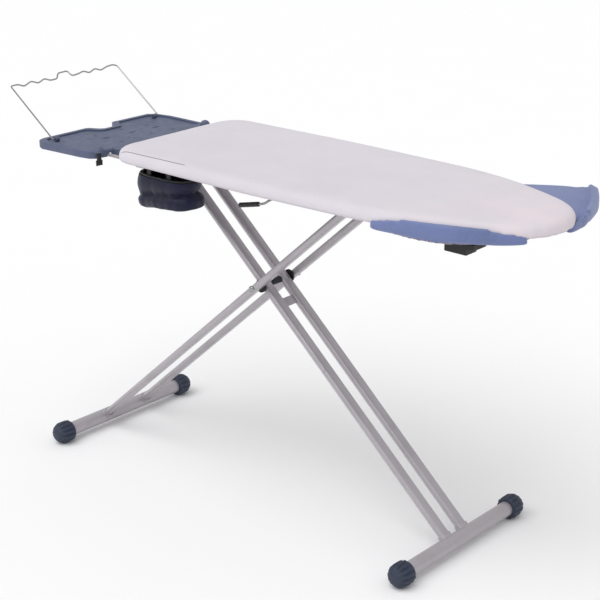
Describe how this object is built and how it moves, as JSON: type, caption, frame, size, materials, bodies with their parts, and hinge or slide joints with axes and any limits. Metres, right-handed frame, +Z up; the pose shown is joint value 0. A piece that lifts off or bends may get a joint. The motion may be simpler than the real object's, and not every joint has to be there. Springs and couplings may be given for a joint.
{
  "type": "ironing board",
  "caption": "Folding ironing board on crossed legs, with iron tray, tilting wire rack, swing-out shoulder wings and a pouch.",
  "frame": {"origin": "on the floor, under the middle of the whole object's box in plan", "axes": "+X to the rounded nose, +Y away from the user, +Z up"},
  "size_m": [1.62, 0.5857, 0.9822],
  "materials": {
    "black": "matt",
    "cover": "cotton cover over foam",
    "navy": "ribbed, matt",
    "nylon": "nylon",
    "pouch": "nylon cloth",
    "slate": "fine grained",
    "steel": "silver-grey paint",
    "wing": "woven cover over foam",
    "wire": "bright wire",
    "zinc": "zinc plated"
  },
  "bodies": {
    "board": {"arm_clip_far": "zinc", "arm_clip_near": "zinc", "cover_pad": "cover", "deck_pan": "steel", "hinge_plate_far": "zinc", "hinge_plate_near": "zinc", "knob_clip_far": "black", "knob_clip_near": "black", "knob_far": "slate", "knob_near": "slate", "lever_clip_inner": "black", "lever_clip_outer": "black", "pouch_bag": "pouch", "pouch_rim": "black", "rack_clip_far": "slate", "rack_clip_near": "slate", "rail_far": "zinc", "rail_near": "zinc", "rail_strap_front": "zinc", "rail_strap_rear": "zinc", "tray_arm_far": "steel", "tray_arm_near": "steel", "tray_shell": "slate", "wing_post_far": "zinc", "wing_post_near": "zinc"},
    "leg_a": {"foot_bar_a": "steel", "foot_cap_a_far": "navy", "foot_cap_a_near": "navy", "leg_a_tube_far": "steel", "leg_a_tube_near": "steel", "leg_a_web": "steel", "pivot_bush_far": "black", "pivot_bush_near": "black", "pivot_cap_far": "wire", "pivot_cap_near": "wire", "pivot_rod": "zinc", "pivot_spacer": "black", "top_bar_a": "steel"},
    "leg_b": {"foot_bar_b": "steel", "foot_cap_b_far": "navy", "foot_cap_b_near": "navy", "leg_b_tube_far": "steel", "leg_b_tube_near": "steel", "rail_glide_far": "nylon", "rail_glide_near": "nylon", "top_bar_b": "steel"},
    "wing_near": {"wing_pad_near": "wing", "wing_plate_near": "slate", "wing_hub": "black"},
    "wing_far": {"wing_pad_far": "wing", "wing_plate_far": "slate"},
    "lever": {"lever_rod": "wire", "lever_grip": "black", "lever_cam": "zinc"},
    "rack": {"rack_wire": "wire"}
  },
  "joints": [
    {"name": "leg_fold", "type": "hinge", "parent": "board", "child": "leg_a", "pos_m": [-0.32648, -0.0438, 0.8205], "axis": [0, 1, 0], "range_deg": [-37.5, 0]},
    {"name": "leg_cross", "type": "hinge", "parent": "leg_a", "child": "leg_b", "pos_m": [-0.023, -0.0438, 0.552], "axis": [0, 1, 0], "range_deg": [0, 75]},
    {"name": "wing_near_swing", "type": "hinge", "parent": "board", "child": "wing_near", "pos_m": [0.716, -0.0768, 0.842], "axis": [0, 0, 1], "range_deg": [0, 44]},
    {"name": "wing_far_swing", "type": "hinge", "parent": "board", "child": "wing_far", "pos_m": [0.716, -0.0108, 0.842], "axis": [0, 0, 1], "range_deg": [0, 44]},
    {"name": "lever_squeeze", "type": "hinge", "parent": "board", "child": "lever", "pos_m": [0.111, -0.1438, 0.826], "axis": [0, 1, 0], "range_deg": [0, 12], "stiffness_Nm_per_rad": 0.6, "springref_deg": -17.19},
    {"name": "rack_tilt", "type": "hinge", "parent": "board", "child": "rack", "pos_m": [-0.635, -0.0438, 0.8545], "axis": [0, 1, 0], "range_deg": [-20, 60]}
  ],
  "couplings": [
    {"joint": "leg_cross", "follows": "leg_fold", "ratio": -2}
  ]
}
